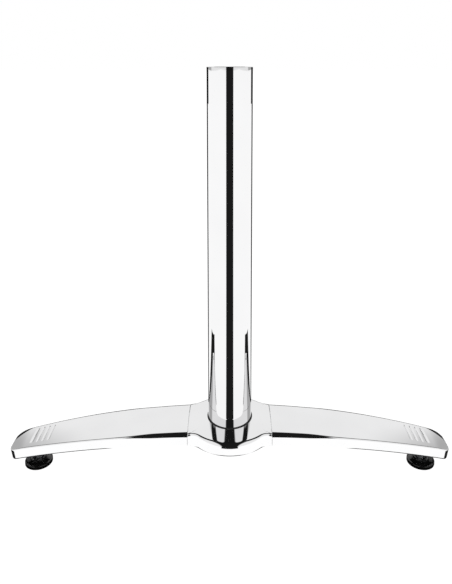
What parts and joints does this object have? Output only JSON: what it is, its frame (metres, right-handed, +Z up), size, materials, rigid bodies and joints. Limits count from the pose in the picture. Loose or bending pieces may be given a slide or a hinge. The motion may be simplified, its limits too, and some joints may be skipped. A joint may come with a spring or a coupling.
{
  "type": "two-leg pedestal column base",
  "caption": "Polished two-leg pedestal base: round chromed column in a cast hub, two arched cast legs, and a black screw glide under each leg's tip.",
  "frame": {"origin": "on the floor, under the middle of the column", "axes": "+X along the legs, +Y across them, +Z up the column"},
  "size_m": [0.61, 0.119, 0.5575],
  "materials": {
    "chromed_tube": "mirror chrome",
    "polished_casting": "mirror polished cast aluminium",
    "plain_steel": "turned steel, welded in",
    "zinc_steel": "bright zinc plated",
    "brass_insert": "turned brass",
    "seal_rubber": "black moulded rubber",
    "black_nylon": "glossy moulded nylon",
    "black_rubber": "matt moulded rubber"
  },
  "bodies": {
    "root": {"column_tube": "chromed_tube", "column_upper_disc": "plain_steel", "column_lower_disc": "plain_steel", "column_seal": "seal_rubber", "hub_casting": "polished_casting", "clamp_washer": "zinc_steel", "clamp_spring_washer": "zinc_steel", "clamp_bolt": "zinc_steel", "left_leg": "polished_casting", "left_leg_screws": "zinc_steel", "left_leg_washers": "zinc_steel", "left_glide_insert": "brass_insert", "right_leg": "polished_casting", "right_leg_screws": "zinc_steel", "right_leg_washers": "zinc_steel", "right_glide_insert": "brass_insert"},
    "left_foot": {"left_glide_pad": "black_nylon", "left_glide_sole": "black_rubber"},
    "left_screw": {"left_glide_stud": "zinc_steel"},
    "right_foot": {"right_glide_pad": "black_nylon", "right_glide_sole": "black_rubber"},
    "right_screw": {"right_glide_stud": "zinc_steel"}
  },
  "joints": [
    {"name": "left_foot_travel", "type": "slide", "parent": "root", "child": "left_foot", "axis": [0, 0, -1], "range_m": [-0.004, 0.005]},
    {"name": "left_screw_turn", "type": "hinge", "parent": "left_foot", "child": "left_screw", "pos_m": [-0.271, 0, 0.015], "axis": [0, 0, -1], "range_deg": [-1153, 1441]},
    {"name": "right_foot_travel", "type": "slide", "parent": "root", "child": "right_foot", "axis": [0, 0, -1], "range_m": [-0.004, 0.005]},
    {"name": "right_screw_turn", "type": "hinge", "parent": "right_foot", "child": "right_screw", "pos_m": [0.271, 0, 0.015], "axis": [0, 0, -1], "range_deg": [-1153, 1441]}
  ],
  "couplings": [
    {"joint": "left_screw_turn", "follows": "left_foot_travel", "rad_per_m": 5026.5},
    {"joint": "right_screw_turn", "follows": "right_foot_travel", "rad_per_m": 5026.5}
  ]
}
